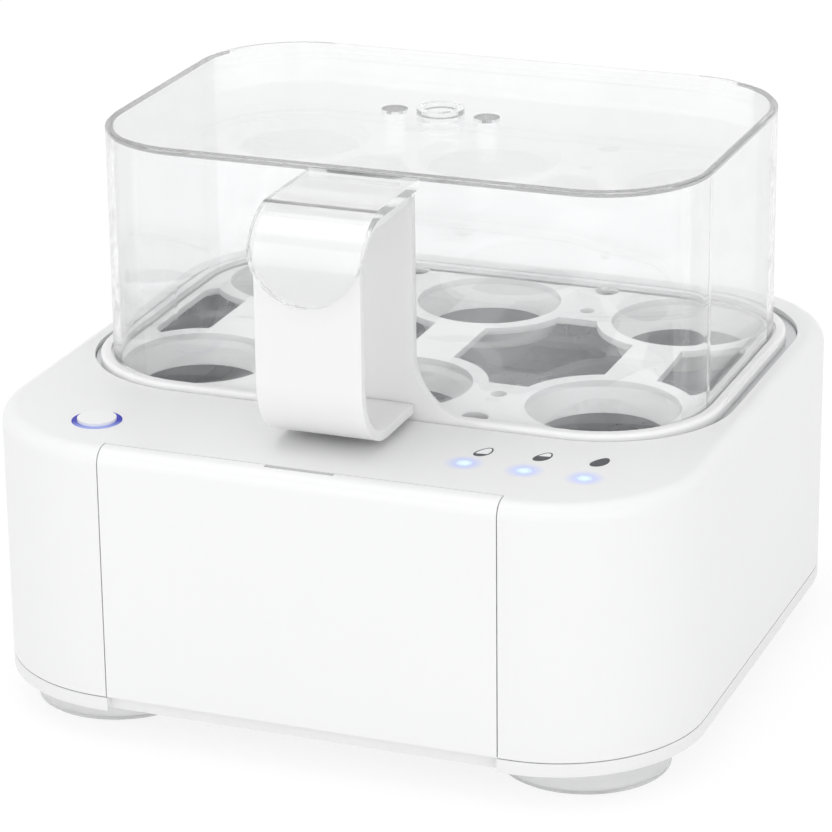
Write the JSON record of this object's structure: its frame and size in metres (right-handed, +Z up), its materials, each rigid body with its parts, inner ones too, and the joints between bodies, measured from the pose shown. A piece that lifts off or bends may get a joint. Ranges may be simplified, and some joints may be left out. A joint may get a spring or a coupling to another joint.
{
  "type": "egg cooker",
  "caption": "Electric egg cooker: square-rounded base with heating pan, control strip and front accessory drawer, lift-out egg rack with a tall handle, and a clear lid.",
  "frame": {"origin": "centre of the base's footprint, on the table that the suction feet stand on", "axes": "+Z up, -Y towards the front with the drawer and the controls, +X to the right seen from the front"},
  "size_m": [0.184, 0.175, 0.1421],
  "materials": {
    "white_plastic": "satin",
    "white_gloss": "gloss",
    "clear_plastic": "clear polished",
    "silicone": "translucent matte",
    "grey_rubber": "matte",
    "steel": "bright zinc",
    "pan_steel": "polished inside",
    "aluminium": "cast",
    "element_metal": "drawn",
    "ceramic": "matte",
    "brass": "satin",
    "black_plastic": "satin",
    "board_green": "satin",
    "blue_plastic": "gloss",
    "yellow_plastic": "gloss",
    "green_plastic": "satin",
    "blue_light": "lit from below",
    "lamp_clear": "lit from below"
  },
  "bodies": {
    "base": {"base_housing": "white_plastic", "bottom_cover": "white_plastic", "foot_front_left": "silicone", "foot_front_right": "silicone", "foot_rear_left": "silicone", "foot_rear_right": "silicone", "cover_screws": "steel", "cord_gland": "grey_rubber", "heating_pan": "pan_steel", "pan_gasket": "grey_rubber", "pan_studs": "steel", "pan_bracket": "steel", "pan_nuts": "steel", "bracket_screws": "steel", "heat_spreader": "aluminium", "heating_element": "element_metal", "element_terminals": "ceramic", "thermostat": "ceramic", "thermostat_clip": "steel", "clip_screws": "steel", "thermal_fuse": "brass", "temperature_sensor": "black_plastic", "control_board": "board_green", "control_board_screws": "steel", "tact_switch": "black_plastic", "light_ring": "blue_light", "status_leds": "lamp_clear", "lens_soft": "lamp_clear", "lens_medium": "lamp_clear", "lens_hard": "lamp_clear", "power_board": "board_green", "power_board_screws": "steel", "relay": "blue_plastic", "supply_capacitor": "black_plastic", "filter_capacitor": "yellow_plastic", "buzzer": "black_plastic", "terminal_block": "green_plastic", "drawer_rails": "white_plastic"},
    "button": {"power_button": "white_gloss"},
    "plunger": {"switch_plunger": "black_plastic"},
    "drawer": {"drawer_front": "white_plastic", "drawer_tray": "white_plastic", "measuring_cup": "clear_plastic", "piercer_body": "white_gloss", "piercer_needle": "steel"},
    "rack": {"egg_rack": "white_gloss", "rack_handle": "white_gloss"},
    "lid": {"clear_lid": "clear_plastic"}
  },
  "joints": [
    {"name": "button_press", "type": "slide", "parent": "base", "child": "button", "axis": [0, 0, -1], "range_m": [0, 0.0008], "stiffness_N_per_m": 2500},
    {"name": "plunger_press", "type": "slide", "parent": "base", "child": "plunger", "axis": [0, 0, -1], "range_m": [0, 0.0008]},
    {"name": "drawer_slide", "type": "slide", "parent": "base", "child": "drawer", "axis": [0, -1, 0], "range_m": [0, 0.052]},
    {"name": "rack_lift", "type": "slide", "parent": "base", "child": "rack", "axis": [0, 0, 1], "range_m": [0, 0.09]},
    {"name": "lid_lift", "type": "slide", "parent": "rack", "child": "lid", "axis": [0, 0, 1], "range_m": [0, 0.075]}
  ],
  "couplings": [
    {"joint": "plunger_press", "follows": "button_press", "ratio": 1}
  ]
}
